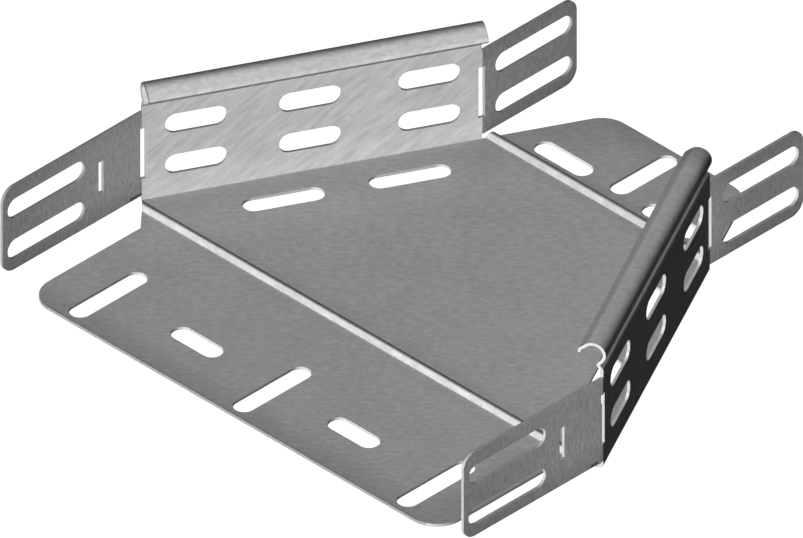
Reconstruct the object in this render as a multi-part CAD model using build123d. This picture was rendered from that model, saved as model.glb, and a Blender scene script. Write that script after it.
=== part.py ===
from build123d import *
import math
import os

# A cable tray reducer, folded from one piece of galvanised sheet. It joins a wide
# tray to a narrow one: a flat floor, two side walls that lean in towards the narrow
# mouth, a rolled rim along each wall, and tabs and tongues that lap over the trays.
# X runs across the trays, Y along them from the wide mouth to the narrow one, Z up.
# All sizes are in millimetres.

# The sheet and its tight folds
sheet = 1.0
fold_inside = 0.2

# Plan of the walls, between their inner faces
wide_inside = 200.0
narrow_inside = 97.8
taper_length = 97.6

# Side tabs that continue the walls at each mouth
tab_bottom = 2.6
tab_top = 34.2
wide_tab_length = 60.8
narrow_tab_length = 40.9
tab_corner = 5.0

# Floor tongues at each mouth
wide_tongue_length = 61.2
wide_tongue_width = 179.4
wide_tongue_shoulder = 11.0
narrow_tongue_length = 36.4
tongue_corner = 10.0

# Pressed ridges across the floor, one at the root of each tongue
ridge_width = 3.0
ridge_slope = 60.0
wide_ridge_reach = 2.6
narrow_ridge_reach = 2.5

# Section of each wall, along the middle of the sheet: foot, kink and rolled rim
wall_foot = 1.0
kink_lean = 41.0
neck_length = 1.95
rim_centre_height = 42.2
rim_centre_inset = 2.87
rim_radius = 3.6
rim_start_angle = -41.0
shoulder_length = 2.83
shoulder_slope = 40.0
lip_radius = 1.0
lip_length = 1.1

# Bolt slots, end to end
slot_width = 7.1
wide_tab_slot_length = 33.6
narrow_tab_slot_length = 33.4
wide_tab_slot_reach = 41.8
narrow_tab_slot_reach = 22.1
tab_slot_height = 10.3
slot_row_pitch = 15.3
wall_slot_length = 20.2
wall_slot_height = 12.4
wall_slot_stations = (17.7, 54.6, 93.1)
floor_slot_length = 26.3
floor_slot_inset = 13.2
floor_slot_stations = (42.0, 82.8)
wide_long_slot_length = 31.4
wide_long_slot_pitch = 71.45
wide_long_slot_reach = 43.3
wide_cross_slot_length = 20.1
wide_cross_slot_pitch = 68.4
wide_cross_slot_reach = 41.8
narrow_long_slot_length = 26.4
narrow_long_slot_reach = 21.2
narrow_cross_slot_length = 23.1
narrow_cross_slot_pitch = 47.1
narrow_cross_slot_reach = 9.8

# Narrow slots that let the tabs be bent by hand
bend_slot_width = 2.1
bend_slot_height = 18.45
bend_slot_length = 18.9
bend_slot_inset = 0.3
relief_slot_length = 11.8
relief_slot_reach = 17.9

# Lines that follow from the sizes above
fold_radius = fold_inside + sheet / 2
taper_run = (wide_inside - narrow_inside) / 2
taper_angle = math.degrees(math.atan2(taper_run, taper_length))
wall_length = math.hypot(taper_run, taper_length)
along_wall = Vector(-taper_run / wall_length, taper_length / wall_length, 0)
out_of_wall = Vector(along_wall.Y, -along_wall.X, 0)
wall_root = Vector((wide_inside + sheet) / 2, 0, 0)
narrow_tab_end = taper_length + narrow_tab_length
narrow_tongue_end = taper_length + narrow_tongue_length
wall_end_inset = fold_radius * math.tan(math.radians(taper_angle / 2))
overall_span = wide_inside + 4 * sheet
blank_height = rim_centre_height


def on_wall(station, outward=0.0):
    """A plan point by the right wall: distance along it, and out from its middle."""
    return wall_root + along_wall * station + out_of_wall * outward


def ribbon(middle):
    """The sheet's section, thickened to both sides of a line along its middle."""
    left = middle.offset_2d(sheet / 2, side=Side.LEFT, closed=False)
    right = middle.offset_2d(sheet / 2, side=Side.RIGHT, closed=False)
    ends = []
    for tip in (middle @ 0, middle @ 1):
        left_tip = left.vertices().sort_by_distance(tip)[0]
        right_tip = right.vertices().sort_by_distance(tip)[0]
        ends.append(Edge.make_line(left_tip, right_tip))
    return make_face(left.edges() + right.edges() + ends)


def floor_section():
    """Side view of the floor, with both tongues and both ridges."""
    level = sheet / 2
    rise = ridge_width / 2 * math.tan(math.radians(ridge_slope))
    points = [(-wide_tongue_length, level)]
    for ridge in (-wide_ridge_reach, taper_length + narrow_ridge_reach):
        points.append((ridge - ridge_width / 2, level))
        points.append((ridge, level + rise))
        points.append((ridge + ridge_width / 2, level))
    points.append((narrow_tongue_end, level))
    return Plane.YZ * ribbon(FilletPolyline(*points, radius=fold_radius))


def floor_outline():
    """Plan of the floor and its tongues, up to the folds under the walls."""
    root = on_wall(wall_end_inset, -wall_foot)
    fold_end = on_wall(wall_length - wall_end_inset, -wall_foot)
    tongue_root = on_wall(wall_length - wall_end_inset, -sheet / 2)
    reach = (narrow_tongue_end - tongue_root.Y) / along_wall.Y
    tip = tongue_root + along_wall * reach
    half = [
        (wide_tongue_width / 2, -wide_tongue_length),
        (wide_tongue_width / 2, -wide_tongue_shoulder),
        (root.X, root.Y),
        (fold_end.X, fold_end.Y),
        (tongue_root.X, tongue_root.Y),
        (tip.X, tip.Y),
    ]
    other_half = [(-x, y) for x, y in reversed(half)]
    outline = make_face(Polyline(*half, *other_half, close=True))
    tongue_tips = outline.vertices().filter_by(
        lambda v: abs(v.Y + wide_tongue_length) < 0.01 or abs(v.Y - narrow_tongue_end) < 0.01
    )
    return fillet(tongue_tips, tongue_corner)


def floor():
    """The floor with its ridges, cut to the outline of the blank."""
    strip = extrude(floor_section(), amount=overall_span / 2, both=True)
    blank = extrude(floor_outline(), amount=blank_height)
    return strip & blank


def side_band():
    """The right wall between its folds, with the tab that continues it at each mouth."""
    wide_x = (wide_inside + sheet) / 2
    narrow_x = (narrow_inside + sheet) / 2
    plan = FilletPolyline(
        (wide_x, -wide_tab_length),
        (wide_x, 0),
        (narrow_x, taper_length),
        (narrow_x, narrow_tab_end),
        radius=fold_radius,
    )
    band = extrude(ribbon(plan), amount=blank_height)
    length = wide_tab_length + narrow_tab_end
    centre = Plane.YZ * Pos((narrow_tab_end - wide_tab_length) / 2, (tab_bottom + tab_top) / 2)
    tab_shape = centre * RectangleRounded(length, tab_top - tab_bottom, tab_corner)
    return band & extrude(tab_shape, amount=overall_span / 2, both=True)


def wall_section():
    """Section of the right wall: floor fold, wall, kink, neck, rolled rim and lip."""
    rim_centre = (-rim_centre_inset, rim_centre_height)
    rim_sweep = 90 + shoulder_slope - rim_start_angle
    rim = CenterArc(rim_centre, rim_radius, rim_start_angle, rim_sweep)
    notch = rim @ 0 - (rim % 0) * neck_length
    kink_height = notch.Y + notch.X / math.tan(math.radians(kink_lean))
    lip_top = rim @ 1 + Vector(-shoulder_length, 0).rotate(Axis.Z, shoulder_slope)
    lip_end = lip_top - Vector(0, lip_length)
    wall_line = [(-wall_foot, sheet / 2), (0, sheet / 2), (0, kink_height), notch, rim @ 0]
    lower = FilletPolyline(*wall_line, radius=(fold_radius, fold_radius, fold_radius))
    upper = FilletPolyline(rim @ 1, lip_top, lip_end, radius=lip_radius)
    return ribbon(Wire(lower.edges() + [rim] + upper.edges()))


def wall():
    """The right wall with its floor fold and rim, cut square at both ends."""
    far_end = on_wall(wall_length - wall_end_inset)
    across = Plane(origin=far_end, x_dir=out_of_wall, z_dir=-along_wall)
    return extrude(across * wall_section(), amount=wall_length - 2 * wall_end_inset)


def through_floor(length, angle, x, y):
    """A bolt slot down through the floor, with its long axis turned from X."""
    slot = Pos(x, y) * SlotOverall(length, slot_width, rotation=angle)
    return extrude(slot, amount=tab_bottom, both=True)


def floor_slots():
    """Bolt slots of the floor and its tongues."""
    cuts = []
    for column in (-1, 0, 1):
        x = column * wide_long_slot_pitch
        cuts.append(through_floor(wide_long_slot_length, 90, x, -wide_long_slot_reach))
    for side in (-1, 1):
        x = side * wide_cross_slot_pitch / 2
        cuts.append(through_floor(wide_cross_slot_length, 0, x, -wide_cross_slot_reach))
        x = side * narrow_cross_slot_pitch / 2
        y = taper_length + narrow_cross_slot_reach
        cuts.append(through_floor(narrow_cross_slot_length, 0, x, y))
        for station in floor_slot_stations:
            spot = on_wall(station, -floor_slot_inset)
            lean = 90 + side * taper_angle
            cuts.append(through_floor(floor_slot_length, lean, side * spot.X, spot.Y))
    cuts.append(through_floor(narrow_long_slot_length, 90, 0, taper_length + narrow_long_slot_reach))
    return cuts


def through_tabs(shape, y, z):
    """A shape cut straight across through both tabs of a mouth."""
    return extrude(Plane.YZ * Pos(y, z) * shape, amount=overall_span / 2, both=True)


def tab_slots():
    """Two rows of long bolt slots in every tab."""
    cuts = []
    for row in (0, 1):
        z = tab_slot_height + row * slot_row_pitch
        wide = SlotOverall(wide_tab_slot_length, slot_width)
        narrow = SlotOverall(narrow_tab_slot_length, slot_width)
        cuts.append(through_tabs(wide, -wide_tab_slot_reach, z))
        cuts.append(through_tabs(narrow, taper_length + narrow_tab_slot_reach, z))
    return cuts


def bend_slots():
    """Narrow upright slots on each bend line, and across each wide tab."""
    on_bend = Rectangle(bend_slot_width, bend_slot_length)
    relief = Rectangle(bend_slot_width, relief_slot_length)
    return [
        through_tabs(on_bend, bend_slot_inset, bend_slot_height),
        through_tabs(on_bend, taper_length - bend_slot_inset, bend_slot_height),
        through_tabs(relief, -relief_slot_reach, bend_slot_height),
    ]


def wall_slots():
    """Two rows of bolt slots through the right wall."""
    cuts = []
    for station in wall_slot_stations:
        spot = on_wall(station)
        face = Plane(origin=spot, x_dir=along_wall, z_dir=out_of_wall)
        for row in (0, 1):
            z = wall_slot_height + row * slot_row_pitch
            slot = face * Pos(0, z) * SlotOverall(wall_slot_length, slot_width)
            cuts.append(extrude(slot, amount=2 * sheet, both=True))
    return cuts


def reducer_sheet():
    """The whole folded sheet: right side, its mirror image and the floor, then the slots."""
    right_side = (side_band() + wall()) - wall_slots()
    left_side = mirror(right_side, Plane.YZ)
    body = floor() + right_side + left_side
    return body - floor_slots() - tab_slots() - bend_slots()


body = reducer_sheet()
box = body.bounding_box()
body = Pos(0, -(box.min.Y + box.max.Y) / 2, 0) * body
print("size", body.bounding_box().size, "solids", len(body.solids()), "volume", body.volume)

os.makedirs("parts", exist_ok=True)
export_step(body, "parts/reducer_sheet.step")
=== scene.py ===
# %% [markdown]
# # A cable tray reducer in galvanised sheet
# This lesson dresses one folded part: a reducer that joins a wide cable tray to a
# narrow one. The shape is finished already. It comes from the CAD frame, where the
# sheet, its slots, folds and rolled rims have their true sizes. Blender adds what the
# CAD model can't hold: the zinc skin, the cut edges, the light and the camera.
#
# First cell: load the frame and print how many faces the sheet has.

# %% Load the frame
import bpy
import math
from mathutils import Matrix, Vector

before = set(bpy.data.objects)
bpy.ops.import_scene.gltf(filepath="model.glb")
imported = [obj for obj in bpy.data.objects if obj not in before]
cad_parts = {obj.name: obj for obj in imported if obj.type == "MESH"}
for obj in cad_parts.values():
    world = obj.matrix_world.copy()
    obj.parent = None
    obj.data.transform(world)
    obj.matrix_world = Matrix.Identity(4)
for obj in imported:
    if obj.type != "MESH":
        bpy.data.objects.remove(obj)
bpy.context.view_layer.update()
sheet_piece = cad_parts["reducer_sheet"]
print("reducer sheet:", len(sheet_piece.data.polygons), "faces")

# %% [markdown]
# ## The camera
# The photograph is a parallel view: edges that are parallel on the part stay parallel
# in the picture. An orthographic camera gives that, and a perspective one never would.
# It looks from the front right corner, 45 degrees round from the tray's axis and
# 35.26 degrees above the floor, so all three axes of the part are foreshortened alike.
# The scale was measured between the slots and folds: 3.243 pixels for a millimetre
# across the picture.

# %% Camera
mm = 0.001
picture_width = 803
pixels_per_mm = 3.243
towards_camera = Vector((1, -1, 1)).normalized()
picture_centre = Vector((-17.26, -8.25, 1.0)) * mm
camera_distance = 800 * mm

camera_data = bpy.data.cameras.new("camera")
camera_data.type = "ORTHO"
camera_data.ortho_scale = picture_width / pixels_per_mm * mm
camera = bpy.data.objects.new("camera", camera_data)
camera.location = picture_centre + towards_camera * camera_distance
camera.rotation_euler = towards_camera.to_track_quat("Z", "Y").to_euler()
bpy.context.scene.collection.objects.link(camera)
bpy.context.scene.camera = camera
print("picture is", round(camera_data.ortho_scale / mm, 1), "mm wide")

# %% [markdown]
# ## Materials made of nodes
# Floor and sheet get their looks from node trees. Two small helpers keep those short:
# one starts an empty material, the other adds a node with its settings in one line.
# The floor's white is the first material to start, because it is the simpler one.

# %% Node helpers
def add_node(tree, kind, **settings):
    """A new node in a material's tree, with its settings."""
    node = tree.nodes.new(kind)
    for name, value in settings.items():
        setattr(node, name, value)
    return node


def new_material(name):
    """An empty node material and its tree."""
    material = bpy.data.materials.new(name)
    material.use_nodes = True
    material.node_tree.nodes.clear()
    return material, material.node_tree


white_floor, floor_tree = new_material("white_floor")
print("empty material:", white_floor.name)

# %% [markdown]
# ## The floor's white
# The photograph stands on nothing but white. A lit white plane would need more light
# than the part can bear, so part of the floor's white is a glow, for the rays that show
# the floor: those from the camera and those that shiny or clear surfaces send out. The
# rest is pale paint that the lamps light, so the part still leaves a soft shadow where
# it stands. Light that bounces off the floor would turn the dark side of the part grey,
# and the photograph has none of that, so the bouncing rays meet a darker paint.

# %% Floor white
floor_glow = 0.8
floor_paint = 0.8
floor_bounce = 0.04


def paint_floor(tree):
    """White paint with a glow that only rays which show the floor can see."""
    rays = add_node(tree, "ShaderNodeLightPath")
    shown = add_node(tree, "ShaderNodeMath", operation="ADD")
    shown_or_clear = add_node(tree, "ShaderNodeMath", operation="ADD", use_clamp=True)
    tree.links.new(rays.outputs["Is Camera Ray"], shown.inputs[0])
    tree.links.new(rays.outputs["Is Glossy Ray"], shown.inputs[1])
    tree.links.new(shown.outputs[0], shown_or_clear.inputs[0])
    tree.links.new(rays.outputs["Is Transmission Ray"], shown_or_clear.inputs[1])
    level = add_node(tree, "ShaderNodeMath", operation="MULTIPLY")
    level.inputs[1].default_value = floor_glow
    tree.links.new(shown_or_clear.outputs[0], level.inputs[0])
    glow = add_node(tree, "ShaderNodeEmission")
    tree.links.new(level.outputs[0], glow.inputs["Strength"])
    paint_tone = add_node(tree, "ShaderNodeMapRange")
    paint_tone.inputs["To Min"].default_value = floor_bounce
    paint_tone.inputs["To Max"].default_value = floor_paint
    tree.links.new(shown_or_clear.outputs[0], paint_tone.inputs["Value"])
    paint = add_node(tree, "ShaderNodeBsdfDiffuse")
    tree.links.new(paint_tone.outputs[0], paint.inputs["Color"])
    both = add_node(tree, "ShaderNodeAddShader")
    tree.links.new(glow.outputs[0], both.inputs[0])
    tree.links.new(paint.outputs[0], both.inputs[1])
    output = add_node(tree, "ShaderNodeOutputMaterial")
    tree.links.new(both.outputs[0], output.inputs["Surface"])


paint_floor(floor_tree)
print("floor glow", floor_glow, "and paint", floor_paint)

# %% [markdown]
# ## The floor
# One large square face is floor enough for a view from any side. It lies a hair below the part, so
# that no two faces share a plane. It belongs to the picture and not to the part.

# %% Floor
floor_half = 600 * mm
floor_drop = 0.2 * mm

corners = [(-floor_half, -floor_half, 0), (floor_half, -floor_half, 0)]
corners += [(floor_half, floor_half, 0), (-floor_half, floor_half, 0)]
floor_mesh = bpy.data.meshes.new("floor")
floor_mesh.from_pydata(corners, [], [(0, 1, 2, 3)])
floor_mesh.materials.append(white_floor)
floor = bpy.data.objects.new("floor", floor_mesh)
floor.location.z = -floor_drop
bpy.context.scene.collection.objects.link(floor)
print("floor is", round(2 * floor_half / mm), "mm wide")

# %% [markdown]
# ## The lamps
# The tones of the faces tell where the light is. The left wall's inside is pale, the
# floor and the tabs are mid grey, and the outside of the right wall is nearly black:
# one low lamp stands in front of the wide mouth, a little to the right. It throws no
# shadow in the photograph, so it throws none here. A wide, weak lamp behind the part
# leaves the soft shadow on the floor. A third, low and behind too, lifts the part's
# back for the other views; it hardly reaches the faces that the photograph shows. A
# fourth, weak and from the narrow mouth, brings the right wall's dark outside up to
# the tone that the photograph has there.

# %% Lamps
def towards(compass, height):
    """A direction: degrees round from the wide mouth's side, and degrees above the floor."""
    round_angle = math.radians(compass)
    lift = math.radians(height)
    flat = math.cos(lift)
    return Vector((math.sin(round_angle) * flat, -math.cos(round_angle) * flat, math.sin(lift)))


def add_sun(name, direction, level, softness, shadow=False):
    """A lamp that makes a white face, turned squarely to it, as bright as its level."""
    data = bpy.data.lights.new(name, "SUN")
    data.energy = math.pi * level
    data.angle = math.radians(softness)
    data.use_shadow = shadow
    lamp = bpy.data.objects.new(name, data)
    lamp.rotation_euler = direction.to_track_quat("Z", "Y").to_euler()
    bpy.context.scene.collection.objects.link(lamp)
    print(name, "from", [round(value, 2) for value in direction], "at level", level)


add_sun("front_lamp", towards(21.4, 16.5), level=1.14, softness=6)
add_sun("back_lamp", towards(235, 40), level=0.08, softness=40, shadow=True)
add_sun("low_lamp", towards(225, 0), level=0.2, softness=6)
add_sun("side_lamp", towards(180, 0), level=0.035, softness=6)

# %% [markdown]
# ## Light from all round
# The darkest faces of the photograph aren't quite black. A faint light from the whole
# room lifts them, and stays faint, so that folds and slots keep their depth.

# %% Room light
room_level = 0.012

room = bpy.data.worlds.new("room")
room.use_nodes = True
room.node_tree.nodes["Background"].inputs["Strength"].default_value = room_level
bpy.context.scene.world = room
print("room light at level", room_level)

# %% [markdown]
# ## Sums in a node tree
# One sheet has three kinds of surface: the flat floor, the upright walls and tabs, and
# the narrow faces where the tool cut the sheet. All are found from the place and the
# direction of a point, in the part's own millimetres, so nothing has to be painted by
# hand and nothing slides when the camera moves. The helpers below are the small sums
# that the finish is built from: arithmetic, a product, a soft ramp and a choice between
# two tones. The zinc's material starts here, empty, and each step adds nodes to it.

# %% Sums in a node tree
def set_input(tree, socket, source):
    """Give a socket a number, or link another node's output to it."""
    if isinstance(source, (int, float)):
        socket.default_value = source
    else:
        tree.links.new(source, socket)


def value_node(tree, operation, first, second=None):
    """A math node whose inputs are numbers or other nodes' outputs."""
    node = add_node(tree, "ShaderNodeMath", operation=operation)
    set_input(tree, node.inputs[0], first)
    if second is not None:
        set_input(tree, node.inputs[1], second)
    return node.outputs[0]


def product(tree, first, *factors):
    """The first factor times all the others."""
    result = first
    for factor in factors:
        result = value_node(tree, "MULTIPLY", result, factor)
    return result


def ramp_between(tree, source, start, stop, low=0.0, high=1.0):
    """A smooth change from low to high as the source goes from start to stop."""
    node = add_node(tree, "ShaderNodeMapRange", interpolation_type="SMOOTHSTEP")
    tree.links.new(source, node.inputs["Value"])
    node.inputs["From Min"].default_value = start
    node.inputs["From Max"].default_value = stop
    node.inputs["To Min"].default_value = low
    node.inputs["To Max"].default_value = high
    return node.outputs[0]


def choose(tree, share, first, second):
    """The first number where the share is 0, the second where it is 1."""
    node = add_node(tree, "ShaderNodeMix")
    tree.links.new(share, node.inputs["Factor"])
    set_input(tree, node.inputs["A"], first)
    set_input(tree, node.inputs["B"], second)
    return node.outputs[0]


zinc, zinc_tree = new_material("galvanised_zinc")
print("empty material:", zinc.name)

# %% [markdown]
# ## Where a point lies
# The finish changes over the sheet. It lies flat on the floor, upright on the walls and
# tabs, and across its own thickness on the narrow faces that the cutting tool left. A
# point's place and the way it faces tell which of these it is. The tabs face fully
# sideways and the leaning walls only by 0.89, which tells those two apart.

# %% Places on the sheet
flat_facing = (0.55, 0.75)
tab_facing = (0.92, 0.97)
inside_range = (5.0, -5.0)
right_range = (-1.0, 1.0)
rim_foot_range = (36.9, 37.3)


def find_places(tree):
    """Named outputs: the place in millimetres, its parts, and how much a point faces each way."""
    spot = add_node(tree, "ShaderNodeTexCoord")
    place = add_node(tree, "ShaderNodeVectorMath", operation="SCALE")
    place.inputs["Scale"].default_value = 1 / mm
    tree.links.new(spot.outputs["Object"], place.inputs[0])
    where = add_node(tree, "ShaderNodeSeparateXYZ")
    tree.links.new(place.outputs[0], where.inputs[0])
    facing = add_node(tree, "ShaderNodeSeparateXYZ")
    tree.links.new(spot.outputs["Normal"], facing.inputs[0])
    places = {"place": place.outputs[0], "y": where.outputs["Y"], "z": where.outputs["Z"]}
    places["off_middle"] = value_node(tree, "ABSOLUTE", where.outputs["X"])
    places["facing_x"] = facing.outputs["X"]
    places["facing_y"] = facing.outputs["Y"]
    places["sideways"] = value_node(tree, "ABSOLUTE", facing.outputs["X"])
    places["endways"] = value_node(tree, "ABSOLUTE", facing.outputs["Y"])
    upright = value_node(tree, "ABSOLUTE", facing.outputs["Z"])
    places["flat"] = ramp_between(tree, upright, *flat_facing)
    places["on_tab"] = ramp_between(tree, places["sideways"], *tab_facing)
    outwards = product(tree, where.outputs["X"], facing.outputs["X"])
    places["inside"] = ramp_between(tree, outwards, *inside_range)
    places["on_right"] = ramp_between(tree, where.outputs["X"], *right_range)
    places["on_rim"] = ramp_between(tree, where.outputs["Z"], *rim_foot_range)
    return places


on_sheet = find_places(zinc_tree)
print("places:", ", ".join(on_sheet))

# %% [markdown]
# ## Distances on the sheet
# The painted light and shade of the finish change beside free ends, folds and ridges, so the finish
# asks how far a point is from each. The ends, the ridges and the lean of the walls have the same
# numbers as in the CAD model, so a distance in the material is one on the part.

# %% Distances on the sheet
wide_tip = -99.85
wide_ridge_middle = -41.25
taper_start = -38.65
narrow_ridge_middle = 61.45
narrow_tongue_tip = 95.35
narrow_tab_tip = 99.85
wide_half_inside = 100.0
half_sheet = 0.5
sheet_top = 1.0
ridge_crest = 2.9
taper_run = 51.1
taper_length = 97.6
wall_lean = math.atan2(taper_run, taper_length)


def from_wall_foot(tree, places):
    """How far inward a point is from the nearer leaning wall's inner face."""
    across = value_node(tree, "SUBTRACT", wide_half_inside, places["off_middle"])
    across = product(tree, across, math.cos(wall_lean))
    along = value_node(tree, "SUBTRACT", places["y"], taper_start)
    along = product(tree, along, math.sin(wall_lean))
    return value_node(tree, "SUBTRACT", across, along)


def from_wall_start(tree, places):
    """How far along the nearer wall a point is from the wall's front end."""
    across = value_node(tree, "SUBTRACT", wide_half_inside + half_sheet, places["off_middle"])
    across = product(tree, across, math.sin(wall_lean))
    along = value_node(tree, "SUBTRACT", places["y"], taper_start)
    along = product(tree, along, math.cos(wall_lean))
    return value_node(tree, "ADD", across, along)


def from_ridge(tree, places, ridge_middle):
    """How far a point is along Y from the middle of a pressed ridge."""
    along = value_node(tree, "SUBTRACT", places["y"], ridge_middle)
    return value_node(tree, "ABSOLUTE", along)


def find_distances(tree, places):
    """Named outputs: distances in millimetres, and 1 on all that rises from the floor."""
    return {
        "wall_foot": from_wall_foot(tree, places),
        "wall_start": from_wall_start(tree, places),
        "wide_ridge": from_ridge(tree, places, wide_ridge_middle),
        "narrow_ridge": from_ridge(tree, places, narrow_ridge_middle),
        "wide_tip": value_node(tree, "SUBTRACT", places["y"], wide_tip),
        "narrow_tongue_tip": value_node(tree, "SUBTRACT", narrow_tongue_tip, places["y"]),
        "narrow_tab_tip": value_node(tree, "SUBTRACT", narrow_tab_tip, places["y"]),
        "above_floor": ramp_between(tree, places["z"], sheet_top + 0.1, sheet_top + 0.3),
    }


distance = find_distances(zinc_tree, on_sheet)
print("the walls lean in by", round(math.degrees(wall_lean), 1), "degrees")

# %% [markdown]
# ## Crystals and clouds
# Hot zinc freezes on the strip as fine crystals, and the coat is nowhere quite even. A
# photograph of real sheet could be wrapped round the part, but it would show one piece
# of sheet and blur at the folds. Noise in the part's own millimetres has no seams and
# can be tuned by one number each: small lumps are the crystals, wide ones the clouds.

# %% Crystals and clouds
crystal_scale = 1.3
crystal_roughness = 0.6
crystal_depth = 0.09
cloud_scale = 0.05
cloud_depth = 0.08


def noise(tree, place, scale, detail=2.0, roughness=0.5):
    """Cloudy noise from 0 to 1, with a scale in lumps per millimetre."""
    node = add_node(tree, "ShaderNodeTexNoise")
    tree.links.new(place, node.inputs["Vector"])
    node.inputs["Scale"].default_value = scale
    node.inputs["Detail"].default_value = detail
    node.inputs["Roughness"].default_value = roughness
    return node.outputs[0]


def centred(tree, source, depth):
    """Noise turned into a change of tone, up and down by about the depth."""
    middle = value_node(tree, "SUBTRACT", source, 0.5)
    return value_node(tree, "MULTIPLY", middle, depth * 2)


crystals = noise(zinc_tree, on_sheet["place"], crystal_scale, roughness=crystal_roughness)
clouds = noise(zinc_tree, on_sheet["place"], cloud_scale)
print("crystals", round(1 / crystal_scale, 1), "mm wide, clouds", round(1 / cloud_scale), "mm")

# %% [markdown]
# ## Dashes on the floor
# The mill's rollers draw faint streaks through the crystals. On the floor they are short
# dashes that run across it at 45 degrees. Noise becomes streaks when the place is turned
# and then shrunk along one axis, which draws the lumps out along it. Drawing each dash
# would take thousands of shapes for what one stretch of noise gives.

# %% Dashes on the floor
floor_turn = (0, 0, -45)
floor_dash_stretch = (0.35, 0.75, 1.0)
floor_dash_depth = 0.28


def turned_and_stretched(tree, place, turn, stretch):
    """The place in millimetres, turned by degrees about X, Y and Z, then scaled on each axis."""
    turned = add_node(tree, "ShaderNodeVectorRotate", rotation_type="EULER_XYZ")
    turned.inputs["Rotation"].default_value = [math.radians(angle) for angle in turn]
    tree.links.new(place, turned.inputs["Vector"])
    scaled = add_node(tree, "ShaderNodeVectorMath", operation="MULTIPLY")
    scaled.inputs[1].default_value = stretch
    tree.links.new(turned.outputs[0], scaled.inputs[0])
    return scaled.outputs[0]


def streaks(tree, place, turn, stretch, detail, roughness=0.5):
    """Noise drawn out into streaks: the smaller the stretch, the longer along that axis."""
    return noise(tree, turned_and_stretched(tree, place, turn, stretch), 1.0, detail, roughness)


dashes = streaks(zinc_tree, on_sheet["place"], floor_turn, floor_dash_stretch, detail=3)
floor_marks = centred(zinc_tree, dashes, floor_dash_depth)
print("dashes turned by", floor_turn[2], "degrees")

# %% [markdown]
# ## Strokes on the walls and tabs
# The walls carry longer strokes that climb at 37 degrees, with a few fine pale
# scratches between them, and the tabs have upright strokes. The same stretched noise
# makes all three, each with its own turn and stretch, and only the highest peaks of
# the finest one show as scratches.

# %% Strokes on the walls and tabs
wall_turn = (-37, 0, 0)
wall_stroke_stretch = (0.2, 0.07, 0.6)
wall_stroke_roughness = 0.65
wall_stroke_depth = 0.41
scratch_stretch = (0.05, 0.03, 0.8)
scratch_peaks = (0.70, 0.80)
scratch_depth = 0.08
unturned = (0, 0, 0)
tab_stroke_stretch = (0.2, 1.0, 0.4)
tab_stroke_depth = 0.42


def wall_marks(tree, place):
    """Strokes and pale scratches that climb along the walls."""
    strokes = streaks(tree, place, wall_turn, wall_stroke_stretch, 4, wall_stroke_roughness)
    scratches = streaks(tree, place, wall_turn, scratch_stretch, detail=1)
    pale_scratches = ramp_between(tree, scratches, *scratch_peaks, 0.0, scratch_depth)
    return value_node(tree, "ADD", centred(tree, strokes, wall_stroke_depth), pale_scratches)


def tab_marks(tree, place):
    """Upright strokes of the tabs."""
    strokes = streaks(tree, place, unturned, tab_stroke_stretch, detail=3)
    return centred(tree, strokes, tab_stroke_depth)


upright_marks = choose(zinc_tree, on_sheet["on_tab"], wall_marks(zinc_tree, on_sheet["place"]),
                       tab_marks(zinc_tree, on_sheet["place"]))
print("wall strokes climb at", -wall_turn[0], "degrees")

# %% [markdown]
# ## All marks on the zinc
# Every coated face takes the streaks of its kind, and clouds, crystals and a few pale
# flecks lie over all of them. Marks are added up around zero, so that more of them
# doesn't make the sheet paler.

# %% All marks
fleck_scale = 0.5
fleck_stretch = (0.5, 1.0, 1.0)
fleck_peaks = (0.78, 0.84)
fleck_depth = 0.10


def all_marks(tree, places):
    """The change of tone that the marks in the zinc make, around zero."""
    marks = choose(tree, places["flat"], upright_marks, floor_marks)
    marks = value_node(tree, "ADD", marks, centred(tree, clouds, cloud_depth))
    marks = value_node(tree, "ADD", marks, centred(tree, crystals, crystal_depth))
    fleck_place = turned_and_stretched(tree, places["place"], floor_turn, fleck_stretch)
    flecks = noise(tree, fleck_place, fleck_scale, detail=0)
    return value_node(tree, "ADD", marks, ramp_between(tree, flecks, *fleck_peaks, 0.0, fleck_depth))


zinc_marks = all_marks(zinc_tree, on_sheet)
print("marks take", len(zinc_tree.nodes), "nodes")

# %% [markdown]
# ## Tips of the tongues
# Both floor tongues have painted shade over their last centimetre, and the wide one ends in a thin
# painted dark line of shade. On the narrow one the right corner stays pale. Soft ramps of the
# distances give that, with one number for how far and one for how dark.

# %% Tips of the tongues
tip_tone = 0.80
wide_tip_reach = 14
narrow_tip_reach = 12
tip_line_tone = 0.80
tip_line_reach = 1.6
right_corner_tone = 0.98
right_corner_range = (18, 26)


def tongue_tips(tree, places):
    """A factor of painted shade, lower near the tips of both floor tongues."""
    wide_end = ramp_between(tree, distance["wide_tip"], 0, wide_tip_reach, tip_tone, 1.0)
    tip_line = ramp_between(tree, distance["wide_tip"], 0, tip_line_reach, tip_line_tone, 1.0)
    from_middle = ramp_between(tree, places["off_middle"], *right_corner_range)
    right_corner = product(tree, places["on_right"], from_middle)
    narrow_tone = choose(tree, right_corner, tip_tone, right_corner_tone)
    narrow_end = ramp_between(tree, distance["narrow_tongue_tip"], 0, narrow_tip_reach)
    narrow = choose(tree, narrow_end, narrow_tone, 1.0)
    return value_node(tree, "MINIMUM", product(tree, wide_end, tip_line), narrow)


# Painted shade near the tongue tips.
painted_tip_shade = tongue_tips(zinc_tree, on_sheet)
print("tongue tips fall to", tip_tone, "of the tone")

# %% [markdown]
# ## Sides of the floor
# The floor has painted shade along the foot of the walls, more so on the left, and hardly any along
# the narrow tongue. The wide tongue has painted shade towards its right side. Both sides share one
# ramp, and only the tone at its dark end differs.

# %% Sides of the floor
left_foot_tone = 0.76
right_foot_tone = 0.84
left_tongue_side_tone = 0.88
right_tongue_side_tone = 0.97
foot_reach = 24
wide_tongue_right_tone = 0.80
wide_tongue_right_range = (70, 85)
wide_tongue_root_range = (-48, -51)


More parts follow.
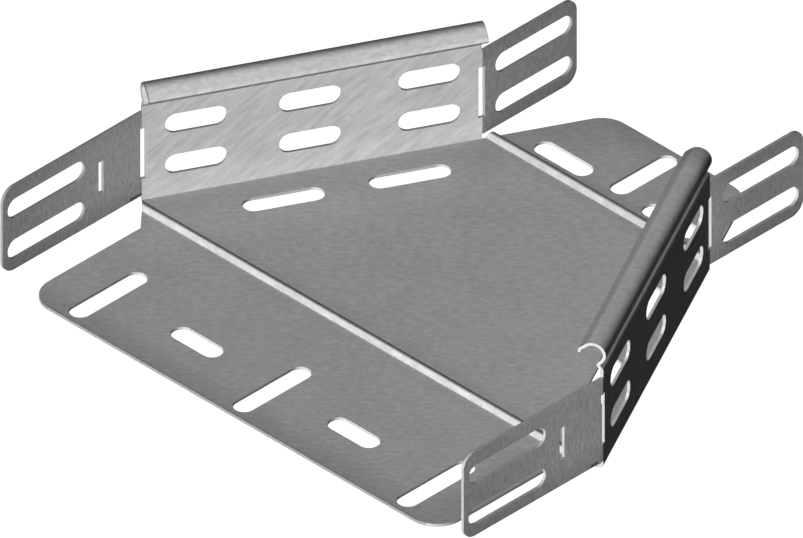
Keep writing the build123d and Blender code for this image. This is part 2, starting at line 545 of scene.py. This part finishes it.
def wall_feet(tree, places):
    """A factor of painted shade, lower along the foot of the walls and the narrow tongue's sides."""
    on_right = places["on_right"]
    foot_tone = choose(tree, on_right, left_foot_tone, right_foot_tone)
    side_tone = choose(tree, on_right, left_tongue_side_tone, right_tongue_side_tone)
    on_narrow_tongue = ramp_between(tree, places["y"], narrow_ridge_middle - 1, narrow_ridge_middle)
    nearest_tone = choose(tree, on_narrow_tongue, foot_tone, side_tone)
    away = ramp_between(tree, distance["wall_foot"], 0, foot_reach)
    return choose(tree, away, nearest_tone, 1.0)


def wide_tongue_side(tree, places):
    """A factor of painted shade, lower on the wide tongue's right side."""
    right_side = ramp_between(tree, places["off_middle"], *wide_tongue_right_range,
                              1.0, wide_tongue_right_tone)
    right_side = choose(tree, places["on_right"], 1.0, right_side)
    on_wide_tongue = ramp_between(tree, places["y"], *wide_tongue_root_range)
    return choose(tree, on_wide_tongue, 1.0, right_side)


# Painted shade along the foot of the walls and on the wide tongue's right side.
painted_side_shade = product(zinc_tree, wall_feet(zinc_tree, on_sheet), wide_tongue_side(zinc_tree, on_sheet))
print("floor dulls over", foot_reach, "mm from the walls")

# %% [markdown]
# ## Beside the ridges
# The floor has painted shade beside the ridges too. Where two places of painted shade meet, the
# darker one counts, because their product would be too dark. The narrow tongue is a shade darker than
# the rest.

# %% Beside the ridges
ridge_edge = 2.5
beside_wide_ridge_tone = 0.90
beside_wide_ridge_reach = 9.0
beside_narrow_ridge_tone = 0.84
beside_narrow_ridge_reach = 8.0
narrow_tongue_tone = 0.95


def beside_ridges(tree):
    """A factor of painted shade, lower on the flat floor right beside each pressed ridge."""
    by_wide = ramp_between(tree, distance["wide_ridge"], ridge_edge, beside_wide_ridge_reach,
                           beside_wide_ridge_tone, 1.0)
    by_narrow = ramp_between(tree, distance["narrow_ridge"], ridge_edge, beside_narrow_ridge_reach,
                             beside_narrow_ridge_tone, 1.0)
    return choose(tree, distance["above_floor"], product(tree, by_wide, by_narrow), 1.0)


def floor_painted_shading(tree, places):
    """A factor for the floor's tone: painted shade near the tips, the walls and the ridges, and a
    darker narrow tongue.
    """
    edges = value_node(tree, "MINIMUM", painted_tip_shade, painted_side_shade)
    whole = value_node(tree, "MINIMUM", edges, beside_ridges(tree))
    tongue = ramp_between(tree, places["y"], narrow_ridge_middle, narrow_ridge_middle + 2,
                          1.0, narrow_tongue_tone)
    return product(tree, whole, tongue)


# Painted shade of the floor near the tips, the walls and the ridges.
painted_floor_shading = floor_painted_shading(zinc_tree, on_sheet)
print("nodes up to the floor's tones:", len(zinc_tree.nodes))

# %% [markdown]
# ## The pressed ridges
# Each ridge has a painted dark line of shade for a crest, and painted light on its slope that faces
# the wide mouth. On the wide ridge that slope is paler than the zinc elsewhere, and on the narrow one
# its left end is. The crest is found by the way it faces, which follows its rounding better than a
# stripe of fixed width would.

# %% Tones of the ridges
crest_tone = 0.38
crest_facing = (-0.72, -0.25)
wide_ridge_front_tone = 1.17
narrow_left_end_tone = 1.25
narrow_left_end_reach = 6
ridge_reach = 3.0


def ridge_painted_shading(tree, places):
    """A factor of painted shade on the crest and the back of the pressed ridges, and painted light on
    their front.
    """
    by_wide = ramp_between(tree, distance["wide_ridge"], ridge_reach, ridge_edge)
    by_narrow = ramp_between(tree, distance["narrow_ridge"], ridge_reach, ridge_edge)
    not_higher = ramp_between(tree, places["z"], ridge_crest + 1.1, ridge_crest + 1.0)
    between_walls = ramp_between(tree, distance["wall_foot"], 0.0, 0.2)
    on_ridge = product(tree, value_node(tree, "ADD", by_wide, by_narrow),
                       distance["above_floor"], not_higher, between_walls)
    left_end = ramp_between(tree, distance["wall_foot"], 0, narrow_left_end_reach,
                            narrow_left_end_tone, 1.0)
    narrow_front_tone = choose(tree, places["on_right"], left_end, 1.0)
    front_tone = choose(tree, by_wide, narrow_front_tone, wide_ridge_front_tone)
    past_front = ramp_between(tree, places["facing_y"], *crest_facing)
    return choose(tree, on_ridge, 1.0, choose(tree, past_front, front_tone, crest_tone))


# Painted shade on the ridge crests and painted light on their fronts.
painted_ridge_shading = ridge_painted_shading(zinc_tree, on_sheet)
print("ridge crests have", crest_tone, "of the tone")

# %% [markdown]
# ## The side tabs
# The tabs get painted shade: they are darker than the walls, and darken slowly towards their tips and
# along their long edges. The inside of walls and tabs has painted shade, a little darker than the
# outside.
# The inner and the outer face get their own ramps, because the photograph shows the
# one on the left side and the other on the right.

# %% Painted shade on the tabs
tab_tone = 0.78
inside_tone = 0.88
tab_bottom = 2.6
tab_top = 34.2
tab_tip_tone = 0.80
wide_tab_tip_reach = 50
narrow_tab_outer_range = (26, 41)
narrow_tab_inner_tone = 0.86
narrow_tab_inner_reach = 10
tab_bottom_tone = 0.80
tab_bottom_reach = 10
wide_tab_inner_top_tone = 0.90
narrow_tab_top_tone = 0.87
tab_top_reach = 7


def tab_ends(tree, places, at_wide):
    """A factor of painted shade, lower towards the tips of the tabs."""
    to_narrow = distance["narrow_tab_tip"]
    outer_end = ramp_between(tree, to_narrow, *narrow_tab_outer_range, tab_tip_tone, 1.0)
    inner_end = ramp_between(tree, to_narrow, 0, narrow_tab_inner_reach,
                             tab_tip_tone, narrow_tab_inner_tone)
    narrow_end = choose(tree, places["inside"], outer_end, inner_end)
    wide_end = ramp_between(tree, distance["wide_tip"], 0, wide_tab_tip_reach, tab_tip_tone, 1.0)
    return product(tree, wide_end, choose(tree, at_wide, narrow_end, 1.0))


def tab_painted_shading(tree, places):
    """A factor of painted shade for the tone of the four side tabs."""
    at_wide = ramp_between(tree, places["y"], 0, -1)
    above = ramp_between(tree, places["z"], tab_bottom, tab_bottom + tab_bottom_reach,
                         tab_bottom_tone, 1.0)
    wide_top_tone = choose(tree, places["inside"], 1.0, wide_tab_inner_top_tone)
    top_tone = choose(tree, at_wide, narrow_tab_top_tone, wide_top_tone)
    near_top = ramp_between(tree, places["z"], tab_top - tab_top_reach, tab_top)
    below = choose(tree, near_top, 1.0, top_tone)
    side_tone = choose(tree, places["inside"], tab_tone, tab_tone * inside_tone)
    return product(tree, tab_ends(tree, places, at_wide), above, below, side_tone)


# Painted shade on the tabs.
painted_tab_shading = tab_painted_shading(zinc_tree, on_sheet)
print("tabs have", tab_tone, "of the tone")

# %% [markdown]
# ## The walls
# The inside of a wall has painted shade, lightest at its foot, and a painted dark line of shade in
# the crease of the kink, close under the lip. Its outside has a painted pale band of light at the
# kink. The height alone tells a point's place between these.

# %% Painted light and shade on the walls
high_wall_tone = 0.90
high_wall_range = (3, 15)
kink_tone = 1.4
kink_range = (35.3, 35.9)
crease_tone = 0.35
crease_range = (36.25, 36.45)


def wall_painted_shading(tree, places):
    """A factor of painted light and shade for the tone of the two walls."""
    rising = ramp_between(tree, places["z"], *high_wall_range,
                          inside_tone, high_wall_tone * inside_tone)
    crease = ramp_between(tree, places["z"], *crease_range, 1.0, crease_tone)
    outer = ramp_between(tree, places["z"], *kink_range, 1.0, kink_tone)
    return choose(tree, places["inside"], outer, product(tree, rising, crease))


# Painted light and shade on the walls.
painted_wall_shading = wall_painted_shading(zinc_tree, on_sheet)
print("kink tone", kink_tone, "outside and crease tone", crease_tone, "inside")

# %% [markdown]
# ## The rolled rims
# The rims are rolled last, and their tones are painted light and shade. Both rims are a little paler
# than the zinc elsewhere, as painted light. The lower edge of the lip has a thin painted dark line of
# shade. The left rim has painted shade over its round top, and a thin painted dark line of shade
# follows its sawn front end. The right rim has painted light down its outer side, and painted shade
# on the shoulder that faces the tray and towards its far end.

# %% Painted light and shade on the rims
rim_tone = 1.05
lip_edge_tone = 0.30
lip_edge_range = (42.65, 42.4)
lip_from_wall_range = (6.6, 6.8)
front_line_tone = 0.45
front_line_range = (0.32, 0.46)
left_top_tone = 0.48
left_top_facing = (-0.25, 0.55)
right_outer_tone = 1.45
right_outer_facing = (-0.18, 0.66)
right_shoulder_tone = 0.66
right_shoulder_facing = (-0.22, -0.57)
far_end_tone = 0.62
far_end_range = (96, 112)


def left_rim(tree, places):
    """A factor for the left rim: painted shade on the top and a painted dark line of shade at the
    front end.
    """
    front_line = ramp_between(tree, distance["wall_start"], *front_line_range, front_line_tone, 1.0)
    top = ramp_between(tree, places["facing_x"], *left_top_facing, left_top_tone, rim_tone)
    return product(tree, top, front_line)


def right_rim(tree, places):
    """A factor for the right rim: painted light down the outer side, and painted shade on the
    shoulder and towards the far end.
    """
    facing = places["facing_x"]
    outer = ramp_between(tree, facing, *right_outer_facing, rim_tone, right_outer_tone)
    shoulder = ramp_between(tree, facing, *right_shoulder_facing, 1.0, right_shoulder_tone)
    far_end = ramp_between(tree, distance["wall_start"], *far_end_range, 1.0, far_end_tone)
    return product(tree, outer, shoulder, far_end)


def rim_painted_shading(tree, places):
    """A factor of painted light and shade for the tone of the rolled rims."""
    near_edge = ramp_between(tree, places["z"], *lip_edge_range)
    on_lip = ramp_between(tree, distance["wall_foot"], *lip_from_wall_range)
    edge = choose(tree, product(tree, near_edge, on_lip), 1.0, lip_edge_tone)
    either_rim = choose(tree, places["on_right"], left_rim(tree, places), right_rim(tree, places))
    return product(tree, edge, either_rim)


# Painted light and shade on the rims.
painted_rim_shading = rim_painted_shading(zinc_tree, on_sheet)
print("rim tones from", left_top_tone, "to", right_outer_tone)

# %% [markdown]
# ## All tones of the zinc
# The factors of painted light and shade meet here. Each coated face takes the factor of its own kind,
# so a change to the tabs, say, never reaches the floor.

# %% All tones
def zinc_painted_shading(tree, places):
    """A factor of painted light and shade for the tone of any coated face."""
    upright = choose(tree, places["on_tab"], painted_wall_shading, painted_tab_shading)
    below_rims = choose(tree, places["flat"], upright, painted_floor_shading)
    return choose(tree, places["on_rim"], product(tree, below_rims, painted_ridge_shading), painted_rim_shading)


# Painted light and shade for every coated face.
painted_zinc_shading = zinc_painted_shading(zinc_tree, on_sheet)
print("nodes up to the zinc's tones:", len(zinc_tree.nodes))

# %% [markdown]
# ## Where the tool cut
# The punch and the shears go through after the sheet is coated, so a cut face has no
# zinc of its own. The cut faces could be picked in the mesh one by one, but the slots
# have very many. Their direction finds them all at once: above the ridges only a cut
# face looks towards a mouth, and below the floor's top only a cut face stands upright.

# %% Where the tool cut
endways_facing = (0.55, 0.65)
along_facing = (0.65, 0.55)
kink_start_range = (36.0, 35.9)


def cut_faces(tree, places):
    """1 on the narrow faces that the tool cut, 0 on the coated faces."""
    endways = ramp_between(tree, places["endways"], *endways_facing)
    facing_along = ramp_between(tree, places["sideways"], *along_facing)
    above_ridges = ramp_between(tree, places["z"], ridge_crest + 0.05, ridge_crest + 0.15)
    below_kink = ramp_between(tree, places["z"], *kink_start_range)
    in_sheet = ramp_between(tree, places["z"], sheet_top + 0.02, sheet_top - 0.02)
    across_wall = product(tree, above_ridges, below_kink, facing_along)
    in_floor = product(tree, in_sheet, value_node(tree, "SUBTRACT", 1.0, places["flat"]))
    either = value_node(tree, "MAXIMUM", across_wall, in_floor)
    return value_node(tree, "MAXIMUM", either, product(tree, endways, above_ridges))


cut = cut_faces(zinc_tree, on_sheet)
print("cut faces above the ridges' crests, at", ridge_crest, "mm, and in the floor")

# %% [markdown]
# ## The rims' sawn ends
# A saw cuts the rims to length. The cut ends get painted light on the right rim and painted shade on
# the left one, darker towards its top and at the tip of the lip.

# %% Rim ends
left_rim_end_tone = 0.93
right_rim_end_tone = 1.29
left_rim_top_tone = 0.4
left_rim_top_range = (43.2, 44.6)
lip_tip_range = (5.0, 6.0)


def rim_end_tone(tree, places):
    """A factor of painted light and shade for the tone of the rims' cut ends."""
    top = ramp_between(tree, places["z"], *left_rim_top_range, 1.0, left_rim_top_tone)
    lip_tip = product(tree, ramp_between(tree, distance["wall_foot"], *lip_tip_range),
                      ramp_between(tree, places["z"], *lip_edge_range))
    left_end = product(tree, top, choose(tree, lip_tip, 1.0, lip_edge_tone), left_rim_end_tone)
    return choose(tree, places["on_right"], left_end, right_rim_end_tone)


# Painted light and shade on the rims' sawn ends.
rim_ends = rim_end_tone(zinc_tree, on_sheet)
print("rim ends: left", left_rim_end_tone, "and right", right_rim_end_tone)

# %% [markdown]
# ## Cut edges
# The cut edges get painted light and shade by side and by the way they face: the right side's edges
# are bright, the left side's and the front tongue's are darker, and edges that run along the tray or
# face up are mostly dark. The slots in the right wall are an exception, with bright lower edges.

# %% Cut edges
floor_cut_tone = 1.15
tongue_tip_cut_tone = 0.72
left_cut_tone = 0.70
right_cut_tone = 1.05
cut_along_tone = 0.45
left_upward_tone = 0.62
right_upward_tone = 0.85
right_slot_upward_tone = 1.45
wall_start_range = (1.0, 2.0)
wall_end_range = (109.0, 108.0)


def standing_cut_tone(tree, places):
    """A factor of painted light and shade for cut faces that stand upright."""
    at_tip = ramp_between(tree, distance["wide_tip"], sheet_top + 0.1, sheet_top - 0.1)
    floor_cuts = choose(tree, at_tip, floor_cut_tone, tongue_tip_cut_tone)
    side_cuts = choose(tree, places["on_right"], left_cut_tone, right_cut_tone)
    upright_cuts = choose(tree, places["on_rim"], side_cuts, rim_ends)
    across = choose(tree, distance["above_floor"], floor_cuts, upright_cuts)
    endways = ramp_between(tree, places["endways"], 0.0, 1.0)
    return choose(tree, endways, cut_along_tone, across)


def cut_face_tone(tree, places):
    """A factor of painted light and shade for the tone of a cut face, by its place and the way it
    faces.
    """
    in_wall = product(tree, ramp_between(tree, distance["wall_start"], *wall_start_range),
                      ramp_between(tree, distance["wall_start"], *wall_end_range))
    right_upward = choose(tree, in_wall, right_upward_tone, right_slot_upward_tone)
    upward = choose(tree, places["on_right"], left_upward_tone, right_upward)
    return choose(tree, places["flat"], standing_cut_tone(tree, places), upward)


# Painted light and shade on the cut edges.
painted_cut_shading = cut_face_tone(zinc_tree, on_sheet)
print("cut edges: left", left_cut_tone, "and right", right_cut_tone)

# %% [markdown]
# ## The colour
# The marks and the factors of painted light and shade meet in one tone. On cut faces it has fine
# lines across the thickness, as the shears leave them, in place of the marks in the zinc. The zinc is
# a neutral grey with the least touch of blue.

# %% Colour of the sheet
zinc_tone = 0.62
zinc_tint = {"Red": 0.995, "Green": 1.0, "Blue": 1.005}
shear_line_depth = 0.12
shear_line_stretch = (3.0, 3.0, 0.4)


def sheet_colour(tree, places):
    """The colour of any point of the sheet, coated or cut."""
    shear_lines = streaks(tree, places["place"], unturned, shear_line_stretch, detail=1)
    marks = choose(tree, cut, zinc_marks, centred(tree, shear_lines, shear_line_depth))
    # The tone takes the painted light and shade of a coated face or of a cut face.
    tone = product(tree, value_node(tree, "ADD", marks, 1.0), choose(tree, cut, painted_zinc_shading, painted_cut_shading))
    colour = add_node(tree, "ShaderNodeCombineColor")
    for channel, tint in zinc_tint.items():
        tree.links.new(product(tree, tone, zinc_tone * tint), colour.inputs[channel])
    return colour.outputs[0]


zinc_colour = sheet_colour(zinc_tree, on_sheet)
print("zinc tone", zinc_tone)

# %% [markdown]
# ## Rounded edges and raised crystals
# Bump gives the crystals a little height, a few hundredths of a millimetre. A bevel in
# the shading rounds every edge, as the coating does on the real sheet. The edges could
# be rounded in the mesh, but at this size only their glint shows, and the shape is to
# stay that of the CAD model.

# %% Edges and bump
edge_rounding = 0.3 * mm
crystal_height = 0.05 * mm
crystal_bump = 0.15

rounded = add_node(zinc_tree, "ShaderNodeBevel", samples=6)
rounded.inputs["Radius"].default_value = edge_rounding
bump = add_node(zinc_tree, "ShaderNodeBump")
bump.inputs["Strength"].default_value = crystal_bump
bump.inputs["Distance"].default_value = crystal_height
zinc_tree.links.new(crystals, bump.inputs["Height"])
zinc_tree.links.new(rounded.outputs[0], bump.inputs["Normal"])
print("edges rounded by", round(edge_rounding / mm, 2), "mm")

# %% [markdown]
# ## The zinc's shader
# Everything meets here in one shader. The metal is matt in the photograph: it mirrors
# nothing, not even the white floor, so it gets the weakest shine and wide roughness. A
# cut face is a little smoother than the coated face beside it.

# %% Galvanised zinc
shine_level = 0.005
crystal_range = (0.2, 0.8)
coated_roughness = (0.55, 0.68)
cut_roughness = 0.48

shader = add_node(zinc_tree, "ShaderNodeBsdfPrincipled")
shader.inputs["Metallic"].default_value = 0.0
shader.inputs["Specular IOR Level"].default_value = shine_level
coated = ramp_between(zinc_tree, crystals, *crystal_range, *coated_roughness)
roughness = choose(zinc_tree, cut, coated, cut_roughness)
zinc_tree.links.new(zinc_colour, shader.inputs["Base Color"])
zinc_tree.links.new(roughness, shader.inputs["Roughness"])
zinc_tree.links.new(bump.outputs[0], shader.inputs["Normal"])
surface = add_node(zinc_tree, "ShaderNodeOutputMaterial")
zinc_tree.links.new(shader.outputs[0], surface.inputs["Surface"])
sheet_piece.material_slots[0].material = zinc
print("galvanised zinc has", len(zinc_tree.nodes), "nodes")

# %% [markdown]
# ## Finish
# The zinc changed no shape, so the part's box is still that of the CAD model. The picture keeps its
# colours as they are, with the Standard view transform.

# %% Finish
bpy.context.scene.view_settings.view_transform = "Standard"
